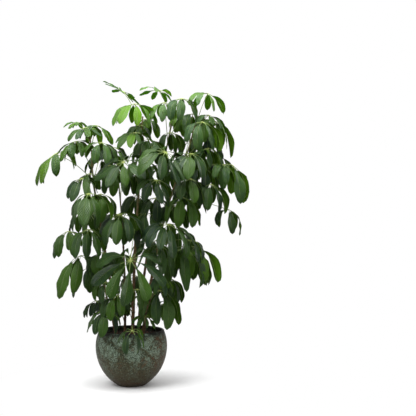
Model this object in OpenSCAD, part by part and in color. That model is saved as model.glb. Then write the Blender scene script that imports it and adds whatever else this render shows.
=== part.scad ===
// Tall schefflera, or umbrella plant, in a round glazed pot.
//
// Woody stems stand in a root ball, which potting soil holds in the pot. Each stem carries compound
// leaves: one long stalk and, at its end, a ring of drooping leaflets, each on a short stalk of its own.
// Millimetres, +Z up. The origin is the centre of the pot's foot on the floor, and -Y is the front.

/* [Pot] */
// Widest diameter of the pot
pot_d = 466; // [456:1:476]
// Height of the pot
pot_h = 360; // [350:1:370]
// Thickness of the pot's wall
pot_wall = 13; // [10:0.5:16]
// Height at which the pot is widest
belly_h = 250; // [245:1:255]
// Radius of the arc that the pot's side follows
side_arc = 288; // [284:1:292]

/* [Soil] */
// Depth of the soil's surface below the rim
soil_drop = 40; // [30:1:50]
// Diameter of the root ball at the surface
ball_d = 300; // [290:1:320]
// Depth of the root ball
ball_h = 230; // [200:5:240]
// How deep the stems stand in the root ball
rooting = 80; // [60:5:100]

/* [Leaves] */
// Width of a leaflet as a share of its length
leaflet_width = 0.4; // [0.32:0.01:0.44]
// Thickness of a leaflet over its midrib
leaflet_thick = 1.6; // [1.2:0.1:2.4]
// Length of a leaflet's own stalk as a share of the leaflet
stalklet_share = 0.24; // [0.2:0.01:0.3]
// Roll of a leaflet about its length, so that neighbours overlap like fan blades
leaflet_roll = 18; // [12:1:24]
// Radius of a leaf stalk where it leaves the stem
stalk_r = 3.4; // [2.8:0.1:4]

/* [Hidden] */
fit_gap = 0.4;              // clear of each other all round: pot, soil, root ball and stems
ring_sides = 10;            // sides of a stem
stalk_sides = 5;            // sides of a leaf stalk
stalk_rings = 4;            // rings along a leaf stalk
samples = 2;                // rings for each stretch of a stem's route
pot_sides = 96;             // facets round the pot and the soil
outline_sides = 120;        // facets of the full circle the pot's outline is cut from
lip_sides = 32;             // facets of the rolled lip
ball_sides = 72;            // facets of the root ball
hole_sides = 48;            // facets of a stem's hole in the root ball
ball_foot = 0.42;           // radius of the root ball's foot as a share of its diameter at the top
hub_gap = 6;                // from the middle of a leaf's hub to where its leaflets start
stalk_rise = 0.16;          // bow of a leaf stalk as a share of its span
stalk_taper = 0.35;         // share of its radius a leaf stalk loses on the way to the hub
blade_steps = [0.33, 0.36, 0.31];   // stretches of a leaflet's blade as shares of its length
blade_widths = [0.93, 0.88];        // widths at the two bends of the blade as shares of the widest
pulls = [0.3, 0.55, 0.85, 1];       // share of the droop each stretch of a leaflet has taken on
stalklet_half = 2;          // half width of a leaflet's stalk where the blade starts
spread = 88;                // angle between the hub's axis and a leaflet as it sets out
spread_step = 4;            // how much less every second leaflet spreads
near_longer = 0.1;          // share by which the leaflets nearest the stem are shorter
most_droop = 0.97;          // the steepest droop
// How far one leaflet strays from the next: its place round the hub as a share of the spacing, its
// spread in degrees, and its length, droop and width as shares.
strays = [0.14, 6, 0.09, 0.1, 0.1];

pot_r = pot_d / 2;
soil_z = pot_h - soil_drop;
up = [0, 0, 1];

// One row a stem: name, radius at the soil, radius at the top, place at the soil, and the points it
// grows through.
STEMS = [
  ["a", 12, 5, [10, -40],
   [[16, -40, 520], [22, -34, 800], [36, -24, 1070], [46, -10, 1230], [58, 4, 1400], [62, 10, 1600],
    [72, 20, 1760]]],
  ["b", 11, 5, [78, 0],
   [[100, 5, 540], [128, 12, 680], [170, 28, 900], [225, 45, 1130], [300, 45, 1360], [375, 30, 1550],
    [400, 22, 1640], [438, 18, 1760]]],
  ["c", 10, 4.5, [-100, 5],
   [[-112, 8, 520], [-145, 0, 720], [-190, -10, 980], [-232, -18, 1230], [-254, -15, 1400],
    [-262, -10, 1540], [-275, 0, 1640]]],
  ["d", 9, 4, [-50, 60],
   [[-48, 72, 520], [-58, 92, 800], [-76, 108, 1100], [-96, 105, 1340], [-104, 95, 1500]]],
  ["e", 10, 4.5, [40, 55],
   [[52, 84, 520], [88, 118, 800], [132, 148, 1100], [190, 148, 1400], [238, 128, 1630],
    [268, 108, 1790]]],
  ["f", 8, 4, [-95, -62], [[-118, -74, 440], [-150, -84, 560], [-168, -86, 660]]],
  ["g", 7, 4, [72, -72], [[88, -86, 430], [112, -92, 520], [152, -94, 610]]],
];

// One row a leaf: its node, which small leaves share, its stem, the height where its stalk leaves the
// stem, the place of its hub, the length of its leaflets, how many, the lean of the hub away from the
// stem, the droop from 0 to 1, and the turn about the hub.
LEAVES = [
  ["leaf_rim", "a", 385, [32, -310, 396], 115, 6, 30, 0.82, 0],
  ["leaves_a_side", "a", 480, [-75, -215, 605], 128, 7, 15, 0.85, 0],
  ["leaves_a_front", "a", 520, [50, -170, 640], 115, 7, 10, 0.85, 0],
  ["leaf_star", "a", 1060, [24, -330, 835], 205, 9, 58, 0.55, 0],
  ["leaves_a_front", "a", 940, [-55, -225, 1116], 176, 8, 25, 0.78, 0],
  ["leaves_a_side", "a", 1190, [175, -235, 1332], 145, 8, 25, 0.78, 0],
  ["leaf_a07", "a", 1310, [-30, -215, 1447], 160, 8, 40, 0.45, 0],
  ["leaves_a_mid", "a", 1380, [72, -140, 1465], 145, 7, 15, 0.85, 0],
  ["leaf_a09", "a", 1400, [235, -265, 1505], 182, 9, 35, 0.62, 0],
  ["leaves_a_mid", "a", 1490, [120, -60, 1602], 125, 7, 10, 0.80, 0],
  ["leaves_a_high", "a", 1480, [32, -118, 1640], 118, 9, 10, 0.60, 0],
  ["leaves_a_high", "a", 1560, [95, 70, 1745], 118, 8, 5, 0.78, 0],
  ["leaves_a_tip", "a", 1640, [30, -84, 1829], 158, 8, 10, 0.78, 11],
  ["leaves_a_tip", "a", 1700, [-60, 28, 1926], 122, 7, -32, 0.22, -6],

  ["leaves_b_outer", "b", 440, [240, 60, 535], 125, 6, 20, 0.85, 0],
  ["leaf_b02", "b", 520, [188, -90, 626], 205, 7, 15, 0.97, 0],
  ["leaves_b_front", "b", 740, [197, -190, 922], 178, 7, 15, 0.88, 0],
  ["leaf_b04", "b", 780, [350, -120, 892], 232, 7, 15, 0.95, 0],
  ["leaf_b05", "b", 760, [385, 15, 865], 205, 7, 10, 0.95, 0],
  ["leaf_b06", "b", 890, [252, -250, 1054], 175, 9, 25, 0.70, 0],
  ["leaves_b_outer", "b", 900, [405, -165, 950], 112, 6, 15, 0.85, 0],
  ["leaf_b08", "b", 850, [418, -50, 905], 195, 6, 15, 0.95, 0],
  ["leaves_b_mid", "b", 1060, [336, -110, 1225], 165, 7, 10, 0.95, 0],
  ["leaves_b_outer", "b", 1180, [634, -40, 1146], 142, 5, 10, 0.96, 0],
  ["leaves_b_front", "b", 1230, [390, -152, 1342], 145, 8, 15, 0.82, 0],
  ["leaf_b12", "b", 1290, [522, -130, 1308], 165, 8, 15, 0.90, 0],
  ["leaves_b_side", "b", 1360, [600, -90, 1435], 115, 7, 15, 0.80, 0],
  ["leaf_b14", "b", 1380, [656, -10, 1440], 210, 7, 25, 0.92, 0],
  ["leaf_b15", "b", 1400, [396, -170, 1502], 166, 8, 20, 0.80, 0],
  ["leaves_b_side", "b", 1440, [505, -60, 1544], 130, 7, 10, 0.85, -6],
  ["leaves_b_side", "b", 1430, [575, 95, 1505], 120, 7, 15, 0.75, 11],
  ["leaves_b_mid", "b", 1500, [465, -125, 1708], 170, 7, 10, 0.90, 0],
  ["leaves_b_high", "b", 1540, [402, 30, 1776], 150, 7, 5, 0.90, -6],
  ["leaves_b_high", "b", 1470, [496, -110, 1534], 44, 4, 10, 0.50, 0],
  ["leaf_b19", "b", 1600, [530, 10, 1738], 200, 8, 12, 0.95, 0],
  ["leaves_b_side", "b", 1640, [506, -35, 1762], 92, 7, 10, 0.60, 0],
  ["leaf_b_tip", "b", 1650, [500, -10, 1906], 138, 7, 20, 0.68, 0],

  ["leaves_c_low", "c", 620, [-272, 10, 768], 172, 6, 10, 0.95, 0],
  ["leaf_c02", "c", 690, [-310, -150, 852], 215, 7, 15, 0.96, 0],
  ["leaf_c03", "c", 850, [-256, -210, 1020], 170, 8, 15, 0.90, 0],
  ["leaves_c_low", "c", 890, [-408, -60, 1004], 142, 7, 15, 0.90, 0],
  ["leaf_c05", "c", 1070, [-244, -265, 1246], 188, 7, 20, 0.82, -6],
  ["leaves_c_mid", "c", 1140, [-180, -150, 1245], 150, 7, 10, 0.88, 0],
  ["leaves_c_mid", "c", 1190, [-308, -130, 1345], 132, 8, 20, 0.74, 0],
  ["leaf_c08", "c", 1340, [-488, -60, 1508], 182, 7, 30, 0.76, 0],
  ["leaf_c09", "c", 1420, [-362, -50, 1588], 132, 8, 15, 0.70, 0],
  ["leaves_c_high", "c", 1420, [-185, -110, 1578], 134, 7, 15, 0.78, 0],
  ["leaves_c_high", "c", 1530, [-302, -65, 1676], 104, 8, 15, 0.58, 0],
  ["leaves_c_tip", "c", 1560, [-232, 31, 1699], 120, 8, 15, 0.76, 11],
  ["leaves_c_tip", "c", 1610, [-354, 1, 1718], 66, 7, 0, 0.50, 0],

  ["leaves_d_low", "d", 690, [-170, -165, 872], 120, 7, 10, 0.80, 0],
  ["leaves_d_high", "d", 1240, [-89, -58, 1391], 150, 7, 10, 0.88, -6],
  ["leaves_d_high", "d", 1400, [-118, -24, 1550], 118, 8, 10, 0.62, -11],
  ["leaves_d_low", "d", 1080, [30, 150, 1240], 165, 7, 10, 0.88, 0],

  ["leaves_e_tip", "e", 1600, [216, -45, 1842], 124, 7, 10, 0.85, 0],
  ["leaf_e02", "e", 1660, [332, -60, 1866], 145, 8, 10, 0.80, 0],
  ["leaves_e_tip", "e", 1750, [176, 50, 1936], 112, 7, -22, 0.42, 0],
  ["leaves_e_side", "e", 1540, [252, 40, 1655], 132, 7, 5, 0.92, 0],
  ["leaves_e_side", "e", 1070, [152, 60, 1222], 155, 7, 5, 0.88, 0],

  ["leaves_f", "f", 440, [-156, -191, 509], 135, 8, 20, 0.84, 0],
  ["leaves_f", "f", 470, [-231, -49, 554], 108, 6, 15, 0.80, 6],
  ["leaves_f", "f", 580, [-150, -187, 687], 112, 6, 10, 0.90, 11],

  ["leaves_g", "g", 430, [160, -50, 545], 122, 6, 10, 0.88, 16],
  ["leaves_g", "g", 400, [100, -150, 468], 76, 7, 15, 0.65, 0],
  ["leaves_g", "g", 570, [214, -205, 710], 92, 8, 10, 0.75, 0],

  ["leaves_inner_a", "a", 430, [-50, 30, 552], 112, 7, 10, 0.88, 0],
  ["leaves_inner_a", "a", 1210, [34, 60, 1400], 145, 7, 10, 0.86, 0],
  ["leaves_inner_a", "a", 1430, [135, 45, 1565], 130, 7, 10, 0.80, 0],
  ["leaves_inner_a", "a", 1590, [52, 0, 1700], 110, 7, 10, 0.80, 0],
  ["leaves_inner_b", "b", 560, [245, 60, 690], 150, 7, 10, 0.92, 0],
  ["leaves_inner_b", "b", 1130, [382, 60, 1300], 155, 7, 15, 0.88, 0],
  ["leaves_inner_b", "b", 1290, [470, -60, 1415], 150, 7, 10, 0.88, 0],
  ["leaves_inner_b", "b", 1490, [515, 50, 1625], 140, 7, 15, 0.85, -6],
  ["leaves_inner_c", "c", 440, [-165, 40, 570], 120, 6, 10, 0.85, 0],
  ["leaves_inner_c", "c", 980, [-225, 60, 1130], 155, 7, 10, 0.88, 0],
  ["leaves_inner_c", "c", 1240, [-262, -90, 1378], 112, 7, 10, 0.82, 0],
  ["leaves_inner_d", "d", 700, [-60, -30, 856], 140, 7, 10, 0.88, 0],
  ["leaves_inner_d", "d", 930, [-15, 40, 1085], 160, 7, 10, 0.90, 0],
  ["leaves_inner_d", "d", 1290, [-150, 70, 1440], 140, 7, 10, 0.84, 0],
  ["leaves_inner_e", "e", 430, [85, 60, 575], 120, 6, 10, 0.86, 0],
  ["leaves_inner_e", "e", 960, [95, -10, 1125], 155, 7, 10, 0.90, 0],
  ["leaves_inner_e", "e", 1020, [265, 110, 1180], 155, 7, 10, 0.88, 0],
  ["leaves_inner_e", "e", 1330, [300, 60, 1465], 150, 7, 10, 0.85, 0],

  ["leaves_back_left", "c", 1330, [-230, 210, 1500], 145, 7, 15, 0.80, 0],
  ["leaves_back_left", "c", 980, [-330, 170, 1150], 165, 7, 15, 0.85, -6],
  ["leaves_back_left", "d", 930, [-150, 290, 1100], 165, 7, 20, 0.80, -16],
  ["leaves_back_left", "d", 640, [-230, 200, 800], 175, 7, 20, 0.85, 0],
  ["leaves_back_low", "d", 540, [0, 280, 690], 150, 7, 20, 0.80, 0],
  ["leaves_back_low", "d", 400, [-130, 210, 520], 120, 7, 20, 0.80, 0],
  ["leaves_back_low", "e", 540, [210, 230, 690], 150, 7, 20, 0.85, 0],
  ["leaves_back_mid", "d", 1200, [-90, 300, 1400], 150, 7, 20, 0.80, 0],
  ["leaves_back_mid", "e", 780, [90, 330, 930], 165, 7, 25, 0.75, 0],
  ["leaves_back_mid", "e", 900, [300, 290, 1010], 170, 7, 20, 0.80, 0],
  ["leaves_back_mid", "e", 1280, [180, 340, 1440], 155, 7, 25, 0.75, 0],
  ["leaves_back_right", "b", 1170, [370, 230, 1310], 160, 7, 20, 0.80, 0],
  ["leaves_back_right", "b", 1350, [500, 160, 1470], 145, 7, 20, 0.80, 0],
  ["leaves_back_right", "b", 1480, [380, 210, 1620], 145, 7, 20, 0.80, 0],
  ["leaves_back_right", "b", 700, [400, 200, 840], 160, 7, 20, 0.85, 0],
  ["leaves_back_top", "e", 1440, [70, 240, 1590], 130, 7, 20, 0.75, 0],
  ["leaves_back_top", "e", 1620, [330, 190, 1770], 125, 7, 20, 0.75, 0],
  ["leaves_back_top", "d", 1420, [-150, 210, 1540], 120, 7, 20, 0.70, 0],
];

function stem_node(s) = str("stem_", s[0]);
// A row's node is listed once, at its first row.
function is_first(i) = len([for (j = [0:1:i - 1]) if (LEAVES[j][0] == LEAVES[i][0]) j]) == 0;

function unit(v) = v / norm(v);
// What is left of v across the direction t, at length 1.
function across(v, t) = unit(v - (v * t) * t);

// Radius of the pot's outside at height z.
function side_r(z) = pot_r - side_arc + sqrt(pow(side_arc, 2) - pow(z - belly_h, 2));
// Half of the pot's outline from one height to another, set in from the outside.
module half_outline(from, to, inset) {
  intersection() {
    translate([pot_r - side_arc, belly_h]) circle(r = side_arc - inset, $fn = outline_sides);
    translate([0, from]) square([pot_r, to - from]);
  }
}

// A point on the smooth curve through p[i] and p[i + 1], at t from 0 to 1.
function curve(p, i, t) =
  let (n = len(p) - 1, a = p[max(i - 1, 0)], b = p[i], c = p[i + 1], d = p[min(i + 2, n)])
  ((2 * b) + (c - a) * t + (2 * a - 5 * b + 4 * c - d) * t * t + (3 * b - a - 3 * c + d) * t * t * t) / 2;

// A stem's line from the soil up, as evenly spread points on its curve.
function line_of(s) =
  let (p = concat([[s[3].x, s[3].y, soil_z]], s[4]), n = len(p) - 1)
  concat([for (i = [0:n - 1]) for (k = [0:samples - 1]) curve(p, i, k / samples)], [p[n]]);
function stem_named(name) = [for (s = STEMS) if (s[0] == name) s][0];
function stem_r(s, z) = lookup(z, [[soil_z, s[1]], [line_of(s)[len(line_of(s)) - 1].z, s[2]]]);
function stem_at(s, z) =
  let (l = line_of(s)) [lookup(z, [for (p = l) [p.z, p.x]]), lookup(z, [for (p = l) [p.z, p.y]]), z];

// A round tube through the points p with the radii r. Every ring's first corner lies towards ref.
module tube(p, r, sides, ref) {
  n = len(p);
  function along(i) = unit(p[min(i + 1, n - 1)] - p[max(i - 1, 0)]);
  corners = [for (i = [0:n - 1]) let (t = along(i), u = across(ref, t), v = cross(t, u))
    for (k = [0:sides - 1]) p[i] + r[i] * (cos(360 * k / sides) * u + sin(360 * k / sides) * v)];
  walls = [for (i = [0:n - 2]) for (k = [0:sides - 1])
    let (a = i * sides + k, b = i * sides + (k + 1) % sides)
      each [[a, a + sides, b], [b, a + sides, b + sides]]];
  ends = [[for (k = [0:sides - 1]) k], [for (k = [sides - 1:-1:0]) (n - 1) * sides + k]];
  polyhedron(corners, concat(walls, ends));
}

module pot() {
  lip_r = pot_wall / 2 + 1;
  lip_z = pot_h - lip_r;
  color("darkslategray") rotate_extrude($fn = pot_sides) {
    difference() {
      half_outline(0, lip_z, 0);
      half_outline(pot_wall, pot_h, pot_wall);
    }
    translate([side_r(lip_z) - lip_r, lip_z]) circle(r = lip_r, $fn = lip_sides);
  }
}

module ball_shape(grow) {
  translate([0, 0, soil_z - ball_h - grow])
    cylinder(r1 = ball_d * ball_foot + grow, r2 = ball_d / 2 + grow, h = ball_h + 2 * grow, $fn = ball_sides);
}

module soil() {
  gap = pot_wall + fit_gap;
  color("saddlebrown") difference() {
    rotate_extrude($fn = pot_sides) half_outline(gap, soil_z, gap);
    ball_shape(fit_gap);
  }
}

module root_ball() {
  color("sienna") difference() {
    ball_shape(0);
    for (s = STEMS)
      translate([s[3].x, s[3].y, soil_z - rooting - fit_gap])
        cylinder(r = s[1] + fit_gap, h = rooting + 1, $fn = hole_sides);
  }
}

module stem(s) {
  line = line_of(s);
  foot = [s[3].x, s[3].y, soil_z - rooting];
  points = concat([foot], line);
  color("peru") tube(points, [for (p = points) stem_r(s, p.z)], ring_sides, [1, 0, 0]);
}

// One leaflet on its stalk: a thin wedge, thickest over the midrib and sharp at its edges.
// It starts at from, sets out along go, and bends down to the ground by droop. Its width is the usual
// share of its length times broad.
module leaflet(from, go, sidewards, length, broad, droop) {
  steps = length * concat([stalklet_share], blade_steps);
  pull = droop * pulls;
  t = [for (k = [0:3]) unit((1 - pull[k]) * go - pull[k] * up)];
  p0 = from;
  p1 = p0 + steps[0] * t[0];
  p2 = p1 + steps[1] * t[1];
  p3 = p2 + steps[2] * t[2];
  p4 = p3 + steps[3] * t[3];
  half = leaflet_width * broad * length / 2;
  function station(p, d, w, thick) =
    let (s0 = across(sidewards, d), n0 = cross(s0, d),
         s = cos(leaflet_roll) * s0 + sin(leaflet_roll) * n0, n = cross(s, d))
    [p - w * s, p + thick * n, p + w * s];
  corners = concat([p0],
    station(p1, unit(t[0] + t[1]), stalklet_half, stalklet_half),
    station(p2, unit(t[1] + t[2]), blade_widths[0] * half, leaflet_thick),
    station(p3, unit(t[2] + t[3]), blade_widths[1] * half, leaflet_thick),
    [p4]);
  middle = [for (j = [1, 4]) each [
    [j, j + 3, j + 4], [j, j + 4, j + 1], [j + 1, j + 4, j + 5], [j + 1, j + 5, j + 2],
    [j, j + 2, j + 5], [j, j + 5, j + 3]]];
  polyhedron(corners, concat([[0, 1, 2], [0, 2, 3], [0, 3, 1], [7, 10, 8], [8, 10, 9], [7, 9, 10]], middle));
}

module leaf(row) {
  s = stem_named(row[1]);
  hub = row[3];
  on_stem = stem_at(s, row[2]);
  away = unit([hub.x - on_stem.x, hub.y - on_stem.y, 0]);
  from = on_stem + (stem_r(s, row[2]) + fit_gap) * away;
  bend = (from + hub) / 2 + stalk_rise * norm(hub - from) * up;
  stalk = [for (i = [0:stalk_rings - 1]) let (t = i / (stalk_rings - 1))
    pow(1 - t, 2) * from + 2 * t * (1 - t) * bend + t * t * hub];
  radii = [for (i = [0:stalk_rings - 1]) stalk_r * (1 - stalk_taper * i / (stalk_rings - 1))];
  tube(stalk, radii, stalk_sides, cross(away, up));

  lean = row[6];
  axis = cos(lean) * up + sin(lean) * away;
  out = cos(lean) * away - sin(lean) * up;
  count = row[5];
  seed = row[3].x * 7 + row[3].z;
  vary = rands(-1, 1, len(strays) * count, seed);
  for (i = [0:count - 1]) {
    stray = [for (k = [0:len(strays) - 1]) strays[k] * vary[len(strays) * i + k]];
    angle = 180 + row[8] + (i + 0.5 + stray[0]) * 360 / count;
    radial = cos(angle) * out + sin(angle) * cross(axis, out);
    tilt = spread + stray[1] - spread_step * (i % 2);
    go = cos(tilt) * axis + sin(tilt) * radial;
    length = row[4] * (1 + near_longer * cos(angle)) * (1 + stray[2]);
    droop = min(row[7] * (1 + stray[3]), most_droop);
    leaflet(hub + hub_gap * go, go, cross(radial, axis), length, 1 + stray[4], droop);
  }
}

pot();
soil();
root_ball();
for (s = STEMS) stem(s);
color("forestgreen") for (row = LEAVES) leaf(row);
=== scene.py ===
import logging
import math
import random
from dataclasses import dataclass, field
from enum import Enum
from typing import Iterable, Sequence

import bmesh
import bpy
from mathutils import Matrix, Vector, noise


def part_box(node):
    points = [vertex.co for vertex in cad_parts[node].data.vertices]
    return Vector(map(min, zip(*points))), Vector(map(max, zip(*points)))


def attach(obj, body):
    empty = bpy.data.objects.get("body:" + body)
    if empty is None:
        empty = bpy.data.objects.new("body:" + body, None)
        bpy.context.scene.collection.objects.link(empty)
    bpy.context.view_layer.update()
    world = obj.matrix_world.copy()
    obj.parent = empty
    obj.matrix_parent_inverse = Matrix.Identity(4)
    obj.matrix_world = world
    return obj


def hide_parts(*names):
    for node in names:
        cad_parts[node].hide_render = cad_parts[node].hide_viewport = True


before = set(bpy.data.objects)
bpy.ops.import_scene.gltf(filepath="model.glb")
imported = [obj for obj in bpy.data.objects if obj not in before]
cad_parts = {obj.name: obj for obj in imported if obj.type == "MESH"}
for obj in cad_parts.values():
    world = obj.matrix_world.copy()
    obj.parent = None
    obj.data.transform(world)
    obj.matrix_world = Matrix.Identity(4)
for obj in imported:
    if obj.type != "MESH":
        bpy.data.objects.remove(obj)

log = logging.getLogger("plant")
ROOT_BODY = "root"
MERGE = 1e-6
UP = Vector((0.0, 0.0, 1.0))
Color = tuple[float, float, float]


class Age(Enum):
    """How old a leaf is, which sets its green."""

    YOUNG = "young"
    FRESH = "fresh"
    MATURE = "mature"


AGES: dict[str, Age] = {
    "leaves_a_tip": Age.YOUNG,
    "leaves_c_tip": Age.YOUNG,
    "leaves_e_tip": Age.YOUNG,
    "leaf_b_tip": Age.YOUNG,
    "leaves_a_high": Age.FRESH,
    "leaves_b_high": Age.FRESH,
    "leaf_b14": Age.FRESH,
    "leaf_b08": Age.FRESH,
    "leaves_g": Age.FRESH,
    "leaves_b_side": Age.FRESH,
    "leaves_b_mid": Age.FRESH,
    "leaf_b19": Age.FRESH,
    "leaf_c08": Age.FRESH,
    "leaf_c09": Age.FRESH,
    "leaves_c_high": Age.FRESH,
    "leaf_e02": Age.FRESH,
    "leaves_back_top": Age.FRESH,
}


# The low leaf at the front, whose leaflets are widest near the tip.
STAR_LEAF = "leaf_star"
STAR_SKEW = 1.7


# ---------------------------------------------------------------- finishes


class Shader:
    """A small helper that lays out one material's nodes."""

    def __init__(self, name: str) -> None:
        """Start an empty material.

        Args:
            name: The material's name.
        """
        self.material = bpy.data.materials.new(name)
        self.material.use_nodes = True
        self.tree = self.material.node_tree
        self.tree.nodes.clear()
        self.nodes, self.links = self.tree.nodes, self.tree.links
        self.output = self.tree.nodes.new("ShaderNodeOutputMaterial")

    def _put(self, socket: bpy.types.NodeSocket, value: object) -> None:
        """Link a socket to another, or set its value.

        Args:
            socket: The input to fill.
            value: Another socket, a colour or a number.
        """
        if isinstance(value, bpy.types.NodeSocket):
            self.tree.links.new(value, socket)
        elif isinstance(value, tuple) and len(value) == 3 and socket.type == "RGBA":
            socket.default_value = (*value, 1.0)
        else:
            socket.default_value = value

    def coords(self, kind: str = "Object") -> bpy.types.NodeSocket:
        """Return the Object or UV coordinates."""
        return self.tree.nodes.new("ShaderNodeTexCoord").outputs[kind]

    def attribute(self, name: str) -> bpy.types.NodeSocket:
        """Return a number stored on the mesh.

        Args:
            name: Its name on the mesh.

        Returns:
            The number.
        """
        node = self.tree.nodes.new("ShaderNodeAttribute")
        node.attribute_name = name
        return node.outputs["Fac"]

    def split(self, vector: bpy.types.NodeSocket) -> tuple[bpy.types.NodeSocket, ...]:
        """Return the three parts of a vector.

        Args:
            vector: The vector.

        Returns:
            Its x, y and z.
        """
        node = self.tree.nodes.new("ShaderNodeSeparateXYZ")
        self._put(node.inputs[0], vector)
        return tuple(node.outputs)

    def stretch(self, vector: bpy.types.NodeSocket, scale: Color) -> bpy.types.NodeSocket:
        """Return coordinates scaled along each axis.

        Args:
            vector: The coordinates.
            scale: The scale along x, y and z.

        Returns:
            The scaled coordinates.
        """
        node = self.tree.nodes.new("ShaderNodeMapping")
        self._put(node.inputs["Vector"], vector)
        node.inputs["Scale"].default_value = scale
        return node.outputs[0]

    def noise(
        self,
        vector: bpy.types.NodeSocket,
        scale: float,
        detail: float = 4.0,
        rough: float = 0.55,
        warp: float = 0.0,
    ) -> bpy.types.NodeSocket:
        """Return a fractal noise.

        Args:
            vector: Coordinates to read it at.
            scale: Lumps to the metre.
            detail: Octaves.
            rough: Strength of each finer octave.
            warp: How far the pattern is pulled about.

        Returns:
            A number from 0 to 1.
        """
        node = self.tree.nodes.new("ShaderNodeTexNoise")
        self._put(node.inputs["Vector"], vector)
        node.inputs["Scale"].default_value = scale
        node.inputs["Detail"].default_value = detail
        node.inputs["Roughness"].default_value = rough
        node.inputs["Distortion"].default_value = warp
        return node.outputs["Fac"]

    def cells(self, vector: bpy.types.NodeSocket, scale: float) -> bpy.types.NodeSocket:
        """Return the distance to the nearest of many scattered points.

        Args:
            vector: Coordinates to read it at.
            scale: Points to the metre.

        Returns:
            The distance.
        """
        node = self.tree.nodes.new("ShaderNodeTexVoronoi")
        self._put(node.inputs["Vector"], vector)
        node.inputs["Scale"].default_value = scale
        return node.outputs["Distance"]

    def ramp(
        self, value: bpy.types.NodeSocket, low: float, high: float, top: float = 1.0, bottom: float = 0.0
    ) -> bpy.types.NodeSocket:
        """Return the value mapped from low..high to bottom..top, smooth and clamped.

        Args:
            value: The number to map.
            low: Where it gives bottom.
            high: Where it gives top.
            top: The result at high.
            bottom: The result at low.

        Returns:
            The mapped number.
        """
        node = self.tree.nodes.new("ShaderNodeMapRange")
        node.interpolation_type = "SMOOTHSTEP"
        inputs = {"Value": value, "From Min": low, "From Max": high, "To Min": bottom, "To Max": top}
        for name, number in inputs.items():
            self._put(node.inputs[name], number)
        return node.outputs[0]

    def math(self, kind: str, a: object, b: object = 0.0) -> bpy.types.NodeSocket:
        """Return the result of one sum, such as ADD or MULTIPLY.

        Args:
            kind: Which sum.
            a: The first number.
            b: The second number.

        Returns:
            The result.
        """
        node = self.tree.nodes.new("ShaderNodeMath")
        node.operation = kind
        self._put(node.inputs[0], a)
        self._put(node.inputs[1], b)
        return node.outputs[0]

    def mix(self, share: object, a: object, b: object, kind: str = "MIX") -> bpy.types.NodeSocket:
        """Return colour a turned towards colour b by a share.

        Args:
            share: From 0, all a, to 1, all b.
            a: The first colour.
            b: The second colour.
            kind: How they blend.

        Returns:
            The colour.
        """
        node = self.tree.nodes.new("ShaderNodeMix")
        node.data_type = "RGBA"
        node.blend_type = kind
        self._put(node.inputs["Factor"], share)
        self._put(node.inputs[6], a)
        self._put(node.inputs[7], b)
        return node.outputs[2]

    def bump(self, height: bpy.types.NodeSocket, depth: float, strength: float = 1.0) -> bpy.types.NodeSocket:
        """Return a normal tilted by a height, whose full range is depth metres deep.

        Args:
            height: The height.
            depth: Its full range in metres.
            strength: How much of it shows.

        Returns:
            The normal.
        """
        node = self.tree.nodes.new("ShaderNodeBump")
        node.inputs["Distance"].default_value = depth
        node.inputs["Strength"].default_value = strength
        self._put(node.inputs["Height"], height)
        return node.outputs[0]

    def principled(self, **values: object) -> bpy.types.NodeSocket:
        """Return a Principled shader with the given inputs, spaces written as underscores.

        Args:
            values: The inputs by name.

        Returns:
            The shader.
        """
        node = self.tree.nodes.new("ShaderNodeBsdfPrincipled")
        for name, value in values.items():
            self._put(node.inputs[name.replace("_", " ")], value)
        return node.outputs[0]

    def glow_through(
        self, surface: bpy.types.NodeSocket, color: object, share: float, normal: bpy.types.NodeSocket
    ) -> bpy.types.NodeSocket:
        """Return a surface that also lets a share of the light through.

        Args:
            surface: The surface.
            color: The colour of the light that gets through.
            share: How much gets through.
            normal: The normal of both.

        Returns:
            The shader.
        """
        veil = self.tree.nodes.new("ShaderNodeBsdfTranslucent")
        self._put(veil.inputs["Color"], color)
        self._put(veil.inputs["Normal"], normal)
        mixer = self.tree.nodes.new("ShaderNodeMixShader")
        mixer.inputs[0].default_value = share
        self.tree.links.new(surface, mixer.inputs[1])
        self.tree.links.new(veil.outputs[0], mixer.inputs[2])
        return mixer.outputs[0]

    def finish(self, surface: bpy.types.NodeSocket) -> bpy.types.Material:
        """Connect the surface and return the material."""
        self.tree.links.new(surface, self.output.inputs["Surface"])
        return self.material


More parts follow.
